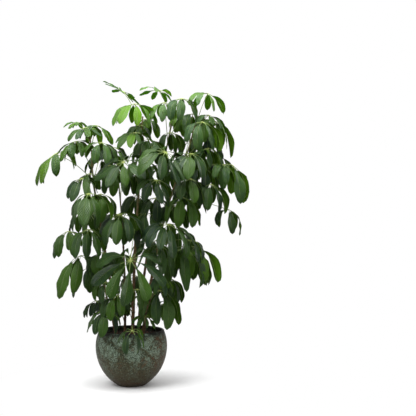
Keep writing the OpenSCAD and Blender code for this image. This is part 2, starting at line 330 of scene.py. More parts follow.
@dataclass(frozen=True)
class LeafFinish:
    """The two faces of a leaflet: a waxy upper face and a paler, duller underside."""

    name: str
    # deep is the leaf's own dark green with a painted teal sheen of the sky in it; light is a saturated
    # yellow-green that paints the glow of a leaflet with light shining through it, and also the paler green of some
    # leaflets.
    deep: Color
    light: Color
    vein: Color
    under: Color
    through: float
    gloss: float
    side_veins: float = 11.0
    vein_slant: float = 3.4

    def _veins(self, shader: Shader) -> tuple[bpy.types.NodeSocket, ...]:
        """Draw the veins on the leaflet's own UV map.

        Args:
            shader: The material being made.

        Returns:
            The midrib, the side veins, the swelling between them and the distance from the midrib,
            each from 0 to 1.
        """
        across_uv, along, _ = shader.split(shader.coords("UV"))
        away = shader.math("ABSOLUTE", shader.math("SUBTRACT", across_uv, 0.5))
        away = shader.math("MULTIPLY", away, 2.0)
        rib_width = shader.ramp(along, 0.0, 1.0, 0.035, 0.10)
        rib = shader.math("SUBTRACT", 1.0, shader.math("DIVIDE", away, rib_width))
        rib = shader.ramp(rib, 0.0, 0.8)
        phase = shader.math("MULTIPLY", along, self.side_veins)
        phase = shader.math("SUBTRACT", phase, shader.math("MULTIPLY", away, self.vein_slant))
        phase = shader.math("PINGPONG", phase, 0.5)
        side = shader.ramp(phase, 0.09, 0.0)
        side = shader.math("MULTIPLY", side, shader.ramp(away, 1.0, 0.55))
        swell = shader.math("MULTIPLY", shader.ramp(phase, 0.0, 0.4), shader.ramp(away, 1.0, 0.8))
        return rib, side, swell, away

    def upper(self) -> bpy.types.Material:
        """Make the glossy upper face.

        Returns:
            The material.
        """
        shader = Shader(f"{self.name}_upper")
        rib, side, swell, away = self._veins(shader)
        tone = shader.attribute("tone")
        patch = shader.noise(shader.coords(), 26.0, 3.0, 0.5)
        # Painted sheen and backlight: low tone gives the dark teal with painted sheen, high tone the painted glow
        # of a backlit leaflet.
        base = shader.mix(tone, self.deep, self.light)
        base = shader.mix(shader.ramp(patch, 0.35, 0.75, 0.35), base, self.light)
        base = shader.mix(shader.ramp(away, 0.8, 1.0, 0.22), base, self.vein)
        base = shader.mix(shader.math("MULTIPLY", side, 0.22), base, self.vein)
        base = shader.mix(shader.math("MULTIPLY", rib, 0.75), base, self.vein)
        grain = shader.noise(shader.coords(), 900.0, 2.0)
        relief = shader.math("ADD", shader.math("MULTIPLY", swell, 0.9), shader.math("MULTIPLY", rib, -1.0))
        relief = shader.math("ADD", relief, shader.math("MULTIPLY", grain, 0.15))
        normal = shader.bump(relief, 0.0034)
        rough = shader.ramp(shader.noise(shader.coords(), 140.0, 3.0), 0.3, 0.8, self.gloss + 0.12, self.gloss)
        surface = shader.principled(
            Base_Color=base, Roughness=rough, Normal=normal, Specular_IOR_Level=0.42)
        glow = shader.mix(0.5, base, self.light)
        return shader.finish(shader.glow_through(surface, glow, self.through, normal))

    def lower(self) -> bpy.types.Material:
        """Make the dull underside.

        Returns:
            The material.
        """
        shader = Shader(f"{self.name}_underside")
        rib, side, swell, _ = self._veins(shader)
        tone = shader.attribute("tone")
        # The tone also lifts the underside towards the painted backlit green.
        base = shader.mix(shader.math("MULTIPLY", tone, 0.5), self.under, self.light)
        base = shader.mix(shader.math("MULTIPLY", side, 0.35), base, self.vein)
        base = shader.mix(shader.math("MULTIPLY", rib, 0.8), base, self.vein)
        relief = shader.math("ADD", shader.math("MULTIPLY", swell, -0.9), shader.noise(shader.coords(), 700.0, 2.0))
        normal = shader.bump(relief, 0.0008)
        surface = shader.principled(Base_Color=base, Roughness=0.6, Normal=normal, Specular_IOR_Level=0.15)
        return shader.finish(shader.glow_through(surface, base, self.through, normal))


LEAF_FINISHES: dict[Age, LeafFinish] = {
    Age.YOUNG: LeafFinish(
        name="young_leaf",
        deep=(0.16, 0.29, 0.13),
        light=(0.19, 0.42, 0.008),
        vein=(0.36, 0.50, 0.14),
        under=(0.15, 0.34, 0.008),
        through=0.48,
        gloss=0.36,
    ),
    Age.FRESH: LeafFinish(
        name="fresh_leaf",
        deep=(0.046, 0.105, 0.050),
        light=(0.095, 0.225, 0.004),
        vein=(0.22, 0.34, 0.08),
        under=(0.08, 0.19, 0.005),
        through=0.36,
        gloss=0.33,
    ),
    Age.MATURE: LeafFinish(
        name="mature_leaf",
        deep=(0.011, 0.034, 0.017),
        light=(0.045, 0.118, 0.004),
        vein=(0.15, 0.23, 0.06),
        under=(0.04, 0.10, 0.004),
        through=0.22,
        gloss=0.28,
    ),
}


@dataclass(frozen=True)
class StalkFinish:
    """Smooth green leaf stalks, browner where they leave the stem and yellower at the hub."""

    base: Color = (0.13, 0.14, 0.04)
    middle: Color = (0.19, 0.28, 0.06)
    hub: Color = (0.33, 0.40, 0.10)

    def make(self) -> bpy.types.Material:
        """Make the material.

        Returns:
            The material.
        """
        shader = Shader("leaf_stalk")
        along = shader.attribute("tone")
        color = shader.mix(shader.ramp(along, 0.0, 0.35), self.base, self.middle)
        color = shader.mix(shader.ramp(along, 0.8, 1.0), color, self.hub)
        fleck = shader.noise(shader.coords(), 420.0, 3.0)
        color = shader.mix(shader.ramp(fleck, 0.55, 0.75, 0.45), color, self.base)
        normal = shader.bump(fleck, 0.0004)
        return shader.finish(shader.principled(Base_Color=color, Roughness=0.42, Normal=normal))


@dataclass(frozen=True)
class BarkFinish:
    """Stem bark: tan and corky low down, green where the stem is still young."""

    dark: Color = (0.075, 0.040, 0.018)
    tan: Color = (0.30, 0.165, 0.07)
    green: Color = (0.115, 0.14, 0.035)
    turns_green: tuple[float, float] = (0.55, 1.35)

    def make(self) -> bpy.types.Material:
        """Make the material.

        Returns:
            The material.
        """
        shader = Shader("stem_bark")
        place = shader.coords()
        _, _, height = shader.split(place)
        young = shader.ramp(height, *self.turns_green)
        streak = shader.noise(shader.stretch(place, (1.0, 1.0, 0.12)), 420.0, 4.0, 0.6, 0.4)
        blotch = shader.noise(place, 46.0, 4.0, 0.6)
        cork = shader.mix(shader.ramp(streak, 0.35, 0.68), self.dark, self.tan)
        skin = shader.mix(shader.ramp(blotch, 0.4, 0.7, 0.5), self.green, self.tan)
        color = shader.mix(shader.math("MULTIPLY", young, shader.ramp(blotch, 0.25, 0.6)), cork, skin)
        color = shader.mix(shader.math("MULTIPLY", shader.attribute("tone"), 0.7), color, self.dark)
        relief = shader.math("ADD", streak, shader.math("MULTIPLY", shader.cells(place, 260.0), -0.6))
        return shader.finish(
            shader.principled(Base_Color=color, Roughness=0.62, Normal=shader.bump(relief, 0.0012)))


@dataclass(frozen=True)
class GlazeFinish:
    """A weathered glaze: blue-grey and green clouds over brown, browner towards the foot, where painted shade also
    darkens it.
    """

    green: Color = (0.040, 0.055, 0.028)
    teal: Color = (0.19, 0.26, 0.19)
    brown: Color = (0.070, 0.050, 0.020)
    rust: Color = (0.105, 0.045, 0.018)
    black: Color = (0.006, 0.007, 0.005)
    # foot is a dark brown painted shade laid over the lower pot.
    foot: Color = (0.030, 0.019, 0.007)

    def make(self) -> bpy.types.Material:
        """Make the material.

        Returns:
            The material.
        """
        shader = Shader("weathered_glaze")
        place = shader.coords()
        side, _, height = shader.split(place)
        cloud = shader.noise(place, 13.0, 5.0, 0.66, 0.6)
        blot = shader.noise(place, 44.0, 5.0, 0.72, 0.6)
        speck = shader.noise(place, 150.0, 4.0, 0.75)
        low = shader.ramp(height, 0.27, 0.03)
        pale = shader.math("MULTIPLY", shader.ramp(cloud, 0.42, 0.56), shader.ramp(low, 0.0, 0.7, 0.25, 1.0))
        color = shader.mix(pale, self.green, self.teal)
        earth = shader.math("ADD", shader.ramp(blot, 0.40, 0.60, 0.6), shader.math("MULTIPLY", low, 0.45))
        earth = shader.math("MULTIPLY", earth, shader.ramp(cloud, 0.60, 0.42, 0.9, 0.35))
        color = shader.mix(earth, color, self.brown)
        worn = shader.math("MULTIPLY", shader.ramp(side, 0.10, 0.22), shader.ramp(blot, 0.35, 0.6))
        worn = shader.math("ADD", worn, shader.math("MULTIPLY", shader.ramp(height, 0.07, 0.0), 0.7))
        rust = shader.ramp(shader.noise(place, 21.0, 4.0, 0.6, 1.0), 0.58, 0.68, 0.7)
        color = shader.mix(shader.math("ADD", rust, shader.math("MULTIPLY", worn, 0.6)), color, self.rust)
        color = shader.mix(shader.ramp(speck, 0.46, 0.58, 0.9), color, self.black)
        color = shader.mix(shader.ramp(shader.noise(place, 95.0, 3.0, 0.6), 0.56, 0.68, 0.6), color, self.teal)
        lip = shader.math("MULTIPLY", shader.ramp(height, 0.325, 0.352), shader.ramp(blot, 0.3, 0.5))
        color = shader.mix(shader.math("MULTIPLY", lip, 0.85), color, self.black)
        # Painted shade: the lower pot is darkened towards the foot with the dark brown foot colour.
        color = shader.mix(shader.math("MULTIPLY", low, 0.6), color, self.foot)
        relief = shader.math("ADD", blot, shader.math("MULTIPLY", speck, 0.6))
        rough = shader.ramp(blot, 0.3, 0.7, 0.62, 0.40)
        return shader.finish(
            shader.principled(
                Base_Color=color, Roughness=rough, Normal=shader.bump(relief, 0.0022), Specular_IOR_Level=0.15))


@dataclass(frozen=True)
class EarthFinish:
    """Crumbly potting soil or matted roots, with paler bits of bark in it."""

    name: str
    dark: Color = (0.010, 0.007, 0.005)
    brown: Color = (0.048, 0.026, 0.015)
    chip: Color = (0.16, 0.075, 0.035)

    def make(self) -> bpy.types.Material:
        """Make the material.

        Returns:
            The material.
        """
        shader = Shader(self.name)
        place = shader.coords()
        lump = shader.noise(place, 120.0, 5.0, 0.7)
        color = shader.mix(shader.ramp(lump, 0.35, 0.7), self.dark, self.brown)
        bits = shader.math("MULTIPLY", shader.attribute("tone"), shader.ramp(lump, 0.2, 0.6, 1.0, 0.55))
        color = shader.mix(bits, color, self.chip)
        grain = shader.noise(place, 700.0, 3.0)
        relief = shader.math("ADD", lump, shader.math("MULTIPLY", grain, 0.5))
        return shader.finish(
            shader.principled(Base_Color=color, Roughness=0.9, Normal=shader.bump(relief, 0.003)))


# ---------------------------------------------------------------- mesh helpers


def new_mesh() -> bmesh.types.BMesh:
    """Return an empty mesh with the layers that every piece has.

    Returns:
        The mesh.
    """
    bm = bmesh.new()
    bm.loops.layers.uv.new("UVMap")
    bm.verts.layers.float.new("tone")
    return bm


def spline(points: Sequence[Vector], index: int, t: float) -> Vector:
    """Return a point on the smooth curve through points, between points[index] and the next.

    Args:
        points: The points that the curve passes through.
        index: Which stretch.
        t: How far along it, from 0 to 1.

    Returns:
        The point.
    """
    last = len(points) - 1
    a, b = points[max(index - 1, 0)], points[index]
    c, d = points[min(index + 1, last)], points[min(index + 2, last)]
    return (2 * b + (c - a) * t + (2 * a - 5 * b + 4 * c - d) * t**2 + (3 * b - a - 3 * c + d) * t**3) / 2


def resample(points: Sequence[Vector], step: float) -> list[Vector]:
    """Return evenly spread points on the smooth curve through points.

    Args:
        points: The points that the curve passes through.
        step: Longest distance between two of the new points.

    Returns:
        The new points, from the first end to the last.
    """
    out: list[Vector] = []
    for i in range(len(points) - 1):
        count = max(1, math.ceil((points[i + 1] - points[i]).length / step))
        out.extend(spline(points, i, k / count) for k in range(count))
    return [*out, points[-1].copy()]


def sweep(
    bm: bmesh.types.BMesh,
    points: Sequence[Vector],
    radii: Sequence[float],
    sides: int,
    slot: int,
    tones: Sequence[float],
) -> list[list[bmesh.types.BMVert]]:
    """Add a closed round tube along a line.

    Args:
        bm: The mesh to add it to.
        points: The middle of each ring.
        radii: The radius of each ring.
        sides: Sides round the tube.
        slot: The material slot of its faces.
        tones: The tone of each ring.

    Returns:
        The rings' vertices.
    """
    tone = bm.verts.layers.float["tone"]
    ring = bmesh.ops.create_circle(bm, segments=sides, radius=1.0)["verts"]
    shape = [v.co.copy() for v in ring]
    side = Vector((1.0, 0.0, 0.0))
    rings: list[list[bmesh.types.BMVert]] = []
    for i, (point, radius) in enumerate(zip(points, radii)):
        ahead = (points[min(i + 1, len(points) - 1)] - points[max(i - 1, 0)]).normalized()
        side = (side - ahead * side.dot(ahead)).normalized()
        turn = Matrix((side, ahead.cross(side), ahead)).transposed()
        if i:
            edges = [bm.edges.get((ring[k], ring[(k + 1) % sides])) for k in range(sides)]
            grown = bmesh.ops.extrude_edge_only(bm, edges=edges)["geom"]
            fresh = {v for v in grown if isinstance(v, bmesh.types.BMVert)}
            ring = [next(e.other_vert(v) for e in v.link_edges if e.other_vert(v) in fresh) for v in ring]
        for v, corner in zip(ring, shape):
            v.co = point + turn @ (corner * radius)
            v[tone] = tones[i]
        rings.append(ring)
    bm.faces.new(rings[0])
    bm.faces.new(rings[-1])
    body = {f for r in rings for v in r for f in v.link_faces}
    for face in body:
        face.material_index = slot
        face.smooth = True
    bmesh.ops.recalc_face_normals(bm, faces=list(body))
    return rings


def islands(node: str) -> list[list[bmesh.types.BMVert]]:
    """Return the separate solids of a CAD node, each as its vertices, in a merged copy.

    Args:
        node: The CAD node.

    Returns:
        The vertices of each solid.
    """
    bm = bmesh.new()
    bm.from_mesh(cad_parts[node].data)
    bmesh.ops.remove_doubles(bm, verts=bm.verts, dist=MERGE)
    left, found = set(bm.verts), []
    for first in bm.verts:
        if first not in left:
            continue
        left.remove(first)
        stack, island = [first], []
        while stack:
            v = stack.pop()
            island.append(v)
            for e in v.link_edges:
                other = e.other_vert(v)
                if other in left:
                    left.remove(other)
                    stack.append(other)
        found.append(island)
    _kept_meshes.append(bm)
    return found


_kept_meshes: list[bmesh.types.BMesh] = []


def middle(points: Iterable[Vector]) -> Vector:
    """Return the average of some points."""
    listed = list(points)
    return sum(listed, Vector()) / len(listed)


def make_piece(
    name: str, bm: bmesh.types.BMesh, materials: Sequence[bpy.types.Material], slot: str, *nodes: str
) -> bpy.types.Object:
    """Turn a mesh into a finished piece that rides on the plant.

    Args:
        name: The piece's name.
        bm: Its mesh, which is freed.
        materials: Its material slots, in order.
        slot: The name of the material slot that it stands for; not used.
        *nodes: The CAD nodes that it stands for.

    Returns:
        The piece.
    """
    mesh = bpy.data.meshes.new(name)
    bm.to_mesh(mesh)
    bm.free()
    for material in materials:
        mesh.materials.append(material)
    piece = bpy.data.objects.new(name, mesh)
    bpy.context.scene.collection.objects.link(piece)
    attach(piece, ROOT_BODY)
    if nodes:
        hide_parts(*nodes)
    log.info("%s: %d faces", name, len(mesh.polygons))
    return piece


# ---------------------------------------------------------------- foliage


@dataclass
class LeafletGuide:
    """Where one leaflet runs, read from its CAD solid.

    points holds its start at the hub, the end of its stalk, two stations on the blade and its tip;
    normals holds the upward direction at the three stations between.
    """

    points: list[Vector]
    normals: list[Vector]
    half_width: float

    @classmethod
    def read(cls, verts: list[bmesh.types.BMVert], hubs: Sequence[Vector]) -> "LeafletGuide":
        """Read a leaflet's solid.

        Args:
            verts: The solid's vertices.
            hubs: The ends of the leaf stalks in the same node.

        Returns:
            The guide.
        """
        ends = [v for v in verts if len(v.link_edges) == 3]
        ends.sort(key=lambda v: min((v.co - h).length for h in hubs))
        root, tip = ends[0], ends[-1]
        first = [e.other_vert(root) for e in root.link_edges]
        last = [e.other_vert(tip) for e in tip.link_edges]
        used = {root, tip, *first, *last}
        second = [v for v in verts if v not in used]
        points, normals, widths = [root.co.copy()], [], []
        for station in (first, second, last):
            a, b, c = station
            pairs = [(a, b, c), (b, c, a), (c, a, b)]
            left, right, ridge = max(pairs, key=lambda p: (p[0].co - p[1].co).length)
            centre = (left.co + right.co) / 2
            points.append(centre)
            normals.append((ridge.co - centre).normalized())
            widths.append((left.co - right.co).length / 2)
        points.append(tip.co.copy())
        return cls(points, normals, max(widths))


@dataclass
class CompoundLeaf:
    """One compound leaf: its stalk from stem to hub, and its leaflets."""

    stalk: list[Vector]
    stalk_radii: list[float]
    leaflets: list[LeafletGuide] = field(default_factory=list)

    @property
    def hub(self) -> Vector:
        """Return the point that the leaflets spread from."""
        return self.stalk[-1]


def read_leaves(node: str, stalk_sides: int = 5, leaflet_corners: int = 11) -> list[CompoundLeaf]:
    """Read every compound leaf of a CAD node.

    Args:
        node: The node's name.
        stalk_sides: Sides of a stalk's solid.
        leaflet_corners: Corners of a leaflet's solid.

    Returns:
        The leaves.
    """
    found = islands(node)
    blades = [i for i in found if len(i) == leaflet_corners]
    stalks = [i for i in found if len(i) != leaflet_corners]
    tips = [v.co for b in blades for v in b if len(v.link_edges) == 3]
    leaves: list[CompoundLeaf] = []
    for solid in stalks:
        far = max(((a, b) for a in solid for b in solid), key=lambda p: (p[0].co - p[1].co).length_squared)
        end = min(far, key=lambda v: min((v.co - t).length for t in tips))
        ordered = sorted(solid, key=lambda v: -(v.co - end.co).length)
        rings = [ordered[i:i + stalk_sides] for i in range(0, len(ordered), stalk_sides)]
        centres = [middle(v.co for v in r) for r in rings]
        radii = [max((v.co - c).length for v in r) for r, c in zip(rings, centres)]
        leaves.append(CompoundLeaf(centres, radii))
    hubs = [leaf.hub for leaf in leaves]
    for blade in blades:
        guide = LeafletGuide.read(blade, hubs)
        nearest = min(range(len(hubs)), key=lambda i: (hubs[i] - guide.points[0]).length)
        leaves[nearest].leaflets.append(guide)
    return leaves


@dataclass
class Foliage:
    """Builds the compound leaves of the plant from their CAD guides."""

    rows_along: int = 10
    rows_across: int = 4
    thickness: float = 0.0008
    edge_thickness: float = 0.00015
    stalk_step: float = 0.022
    stalk_sides: int = 6
    ribs: tuple[float, ...] = (0.0, 0.2, 0.45, 0.7, 0.9)
    # Share of leaflets given a painted backlit glow.
    lit_share: float = 0.3
    upper_slot: int = 0
    under_slot: int = 1
    stalk_slot: int = 2

    def __post_init__(self) -> None:
        """Make what every leaf shares: the blade's template and the materials."""
        self.template = self._blade_template()
        self.shaped = self.template.copy()
        stalk = StalkFinish().make()
        self.materials = {
            age: [finish.upper(), finish.lower(), stalk] for age, finish in LEAF_FINISHES.items()}

    def _blade_template(self) -> bpy.types.Mesh:
        """Make a flat closed blade: x runs across from -1 to 1, y along from 0 to 1, z is its depth.

        Returns:
            The mesh.
        """
        bm = new_mesh()
        uv = bm.loops.layers.uv["UVMap"]
        bmesh.ops.create_grid(bm, x_segments=self.rows_across, y_segments=self.rows_along, size=1.0)
        upper = list(bm.faces)
        lower = bmesh.ops.duplicate(bm, geom=upper)["geom"]
        lower_faces = [f for f in lower if isinstance(f, bmesh.types.BMFace)]
        lower_verts = [v for v in lower if isinstance(v, bmesh.types.BMVert)]
        bmesh.ops.reverse_faces(bm, faces=lower_faces)
        for v in lower_verts:
            v.co.z = -1.0
        rim = [v for v in bm.verts if v.is_boundary]
        for v in rim:
            v.co.z = -0.5
        bmesh.ops.remove_doubles(bm, verts=rim, dist=MERGE)
        for face in bm.faces:
            face.smooth = True
            low = sum(v.co.z for v in face.verts) / len(face.verts) < -0.5
            face.material_index = self.under_slot if low else self.upper_slot
            for loop in face.loops:
                loop[uv].uv = ((loop.vert.co.x + 1) / 2, (loop.vert.co.y + 1) / 2)
        for edge in bm.edges:
            kinds = {f.material_index for f in edge.link_faces}
            edge.smooth = len(kinds) == 1
        for v in bm.verts:
            v.co.y = (v.co.y + 1) / 2
        mesh = bpy.data.meshes.new("blade_template")
        bm.to_mesh(mesh)
        bm.free()
        return mesh

    @staticmethod
    def outline(v: float, skew: float) -> float:
        """Return the blade's half width at v along it, as a share of the widest."""
        rise = math.sin(math.pi * min(max(v, 0.0), 1.0) ** skew)
        return 0.02 + 0.98 * max(rise, 0.0) ** 0.66

    def _leaflet(
        self, bm: bmesh.types.BMesh, guide: LeafletGuide, rng: random.Random, shade: float, skew: float
    ) -> None:
        """Add one leaflet: its blade, and its stalk that runs on as the rib under the blade.

        Args:
            bm: The mesh to add it to.
            guide: Where it runs.
            rng: Draws its small differences.
            shade: How light it is, from 0 to 1: from the dark teal with painted sheen to the painted backlit green.
            skew: How far its widest part lies towards the tip; 1 is halfway.
        """
        length = sum((b - a).length for a, b in zip(guide.points[1:], guide.points[2:]))
        keel = rng.uniform(0.05, 0.60)
        arch = rng.uniform(0.05, 0.36)
        wave = rng.uniform(0.05, 0.15)
        ripples = rng.uniform(1.6, 3.0)
        phase = rng.uniform(0.0, math.tau)
        sweep_aside = rng.uniform(-0.12, 0.12) * length
        curl = rng.uniform(-0.05, 0.10) * length
        roll = rng.uniform(-0.3, 0.3)
        twist = rng.uniform(-0.45, 0.45)
        width = guide.half_width * rng.uniform(0.90, 1.08)

        def place(v: float) -> tuple[Vector, Vector, Vector]:
            """Return the rib's point, the side direction and the upward direction at v.

            Args:
                v: How far along the blade, from 0 to 1.

            Returns:
                The three vectors.
            """
            spot = min(v, 0.9999) * 3
            i, t = int(spot), spot - int(spot)
            step = 0.02
            centre = spline(guide.points, i + 1, t)
            before = spline(guide.points, i + 1, t - step)
            after = spline(guide.points, i + 1, min(t + step, 1.0))
            ahead = (after - before).normalized()
            rise = guide.normals[min(i, 2)].lerp(guide.normals[min(i + 1, 2)], t)
            rise = (rise - ahead * rise.dot(ahead)).normalized()
            rise = Matrix.Rotation((roll + twist * v) * min(3 * v, 1.0), 3, ahead) @ rise
            side = ahead.cross(rise)
            centre = centre + side * sweep_aside * v * v - rise * curl * v**3
            return centre, side, rise

        blade = bmesh.new()
        blade.from_mesh(self.template)
        tone = blade.verts.layers.float["tone"]
        frames = {}
        for vert in blade.verts:
            u, v, depth = vert.co
            key = round(v, 4)
            if key not in frames:
                frames[key] = place(v)
            centre, side, rise = frames[key]
            half = width * self.outline(v, skew)
            lift = keel * abs(u) - arch * u * u + wave * math.sin(math.tau * ripples * v + phase + 1.3 * u) * abs(u)
            thick = self.thickness + (self.edge_thickness - self.thickness) * abs(u)
            vert.co = centre + side * (u * half) + rise * (lift * half + depth * thick)
            vert[tone] = shade
        blade.to_mesh(self.shaped)
        blade.free()
        bm.from_mesh(self.shaped)
        stalk = [guide.points[0], guide.points[0].lerp(guide.points[1], 0.5)]
        radii = [0.0022, 0.0016]
        for v in self.ribs:
            centre, _, rise = place(v)
            reach = 0.0015 * (1 - v) + 0.0003
            stalk.append(centre - rise * (self.thickness + 0.3 * reach))
            radii.append(reach)
        tones = [1.0, 0.75] + [0.6] * len(self.ribs)
        sweep(bm, stalk, radii, 4, self.stalk_slot, tones)

    def _stalk(self, bm: bmesh.types.BMesh, leaf: CompoundLeaf) -> None:
        """Add a leaf's stalk, swollen where it leaves the stem and at the hub.

        Args:
            bm: The mesh to add it to.
            leaf: The leaf.
        """
        points = resample(leaf.stalk, self.stalk_step)
        radii, tones = [], []
        for i in range(len(points)):
            t = i / (len(points) - 1)
            thin = leaf.stalk_radii[0] + (leaf.stalk_radii[-1] - leaf.stalk_radii[0]) * t
            radii.append(thin * (0.82 + 0.75 * math.exp(-14 * t) + 0.9 * math.exp(-22 * (1 - t))))
            tones.append(t)
        sweep(bm, points, radii, self.stalk_sides, self.stalk_slot, tones)

    def _hub(self, bm: bmesh.types.BMesh, leaf: CompoundLeaf) -> None:
        """Add the small round knob that the leaflets spread from.

        Args:
            bm: The mesh to add it to.
            leaf: The leaf.
        """
        tone = bm.verts.layers.float["tone"]
        size = leaf.stalk_radii[-1] * 2.4
        knob = bmesh.ops.create_uvsphere(bm, u_segments=8, v_segments=5, radius=size)["verts"]
        bmesh.ops.scale(bm, vec=(1.0, 1.0, 0.7), verts=knob)
        bmesh.ops.translate(bm, vec=leaf.hub, verts=knob)
        for v in knob:
            v[tone] = 1.0
            for f in v.link_faces:
                f.material_index = self.stalk_slot
                f.smooth = True

    def build(self) -> None:
        """Build one piece for each leaf node of the CAD model."""
        for node in sorted(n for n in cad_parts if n.startswith("lea")):
            rng = random.Random(node)
            bm = new_mesh()
            leaves = read_leaves(node)
            for leaf in leaves:
                self._stalk(bm, leaf)
                self._hub(bm, leaf)
                shade = rng.uniform(0.0, 0.6)
                skew = STAR_SKEW if node == STAR_LEAF else 1.05
                for guide in leaf.leaflets:
                    # A share of leaflets get a painted backlit glow: their tone is lifted towards the light green.
                    lit = 0.5 if rng.random() < self.lit_share else 0.0
                    tone = min(max(shade + lit + rng.uniform(-0.2, 0.2), 0.0), 1.0)
                    self._leaflet(bm, guide, rng, tone, skew * rng.uniform(0.95, 1.2))
            age = AGES.get(node, Age.MATURE)
            make_piece(f"{node}_foliage", bm, self.materials[age], "leaf", node)
        bpy.data.meshes.remove(self.template)
        bpy.data.meshes.remove(self.shaped)


# ---------------------------------------------------------------- stems


@dataclass
class Stem:
    """One woody stem, with ring-shaped leaf scars along it."""

    node: str
    sides: int = 12
    step: float = 0.010
    scar_gap: tuple[float, float] = (0.028, 0.060)
    scar_swell: float = 0.16
    scar_length: float = 0.0035
    cad_sides: int = 10

    def build(self, material: bpy.types.Material) -> None:
        """Build the stem round its CAD line.

        Args:
            material: Its bark.
        """
        rng = random.Random(self.node)
        verts = sorted(islands(self.node)[0], key=lambda v: v.co.z)
        rings = [verts[i:i + self.cad_sides] for i in range(0, len(verts), self.cad_sides)]
        line = [middle(v.co for v in r) for r in rings]
        cad_radii = [middle(Vector(((v.co - c).length, 0, 0)) for v in r).x for r, c in zip(rings, line)]
        points = resample(line, self.step)
        ends = line[0].z, line[-1].z
        scars, height = [], ends[0]
        while height < ends[1]:
            scars.append((height, rng.uniform(0.0, math.tau)))
            height += rng.uniform(*self.scar_gap)
        radii, tones = [], []
        for p in points:
            t = (p.z - ends[0]) / (ends[1] - ends[0])
            i = min(int(t * (len(line) - 1)), len(line) - 2)
            base = cad_radii[i] + (cad_radii[i + 1] - cad_radii[i]) * (t * (len(line) - 1) - i)
            near = min(abs(p.z - s[0]) for s in scars)
            swell = math.exp(-((near / self.scar_length) ** 2))
            wobble = 0.05 * noise.noise(p * 38.0)
            radii.append(base * (0.97 + self.scar_swell * swell + wobble))
            tones.append(swell)
        bm = new_mesh()
        sweep(bm, points, radii, self.sides, 0, tones)
        make_piece(f"{self.node}_bark", bm, [material], "bark", self.node)


# ---------------------------------------------------------------- pot and soil


@dataclass
class Pot:
    """The round bellied pot, turned from one outline."""

    arc: float = 0.288
    belly: float = 0.250
    wall: float = 0.013
    foot_rise: float = 0.004
    steps: int = 112
    unevenness: float = 0.0011

    def __post_init__(self) -> None:
        """Read the pot's outer size from its CAD box."""
        low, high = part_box("pot")
        self.radius = (high.x - low.x) / 2
        self.height = high.z

    def side(self, z: float, inset: float = 0.0) -> float:
        """Return the radius of the side at a height, set in from the outside."""
        arc = self.arc - inset
        return self.radius - self.arc + math.sqrt(arc**2 - (z - self.belly) ** 2)

    def outline(self) -> list[Vector]:
        """Return the outline, from under the foot, over the rim and down to the inner floor.

        Returns:
            Its points, in the plane y = 0.
        """
        lip = self.wall / 2 + 0.001
        lip_z = self.height - lip
        foot = self.side(0.0)
        points = [Vector((0.0, 0.0, self.foot_rise)), Vector((foot * 0.78, 0.0, self.foot_rise)),
                  Vector((foot * 0.86, 0.0, 0.0)), Vector((foot, 0.0, 0.0))]
        rows = 26
        points += [Vector((self.side(lip_z * k / rows), 0.0, lip_z * k / rows)) for k in range(1, rows)]
        centre = self.side(lip_z) - lip
        for k in range(9):
            turn = math.pi * k / 8
            points.append(Vector((centre + lip * math.cos(turn), 0.0, lip_z + lip * math.sin(turn))))
        inner_top = lip_z - 0.012
        for k in range(15):
            z = inner_top + (self.wall - inner_top) * k / 14
            points.append(Vector((self.side(z, self.wall), 0.0, z)))
        points.append(Vector((0.0, 0.0, self.wall)))
        return points

    def build(self, material: bpy.types.Material) -> None:
        """Turn the pot and work its surface.

        Args:
            material: Its glaze.
        """
        bm = new_mesh()
        corners = [bm.verts.new(p) for p in self.outline()]
        edges = [bm.edges.new(pair) for pair in zip(corners, corners[1:])]
        bmesh.ops.spin(bm, geom=corners + edges, axis=UP, cent=(0, 0, 0), angle=math.tau,
                       steps=self.steps, use_merge=True, use_duplicate=False)
        bmesh.ops.remove_doubles(bm, verts=bm.verts, dist=1e-5)
        bmesh.ops.recalc_face_normals(bm, faces=bm.faces)
        for v in bm.verts:
            if v.co.z > 0.006:
                out = Vector((v.co.x, v.co.y, 0.0)).normalized()
                push = noise.fractal(v.co * 9.0, 1.0, 2.0, 3) * self.unevenness
                v.co += out * push
        for face in bm.faces:
            face.smooth = True
        make_piece("glazed_pot", bm, [material], "pot_glaze", "pot")


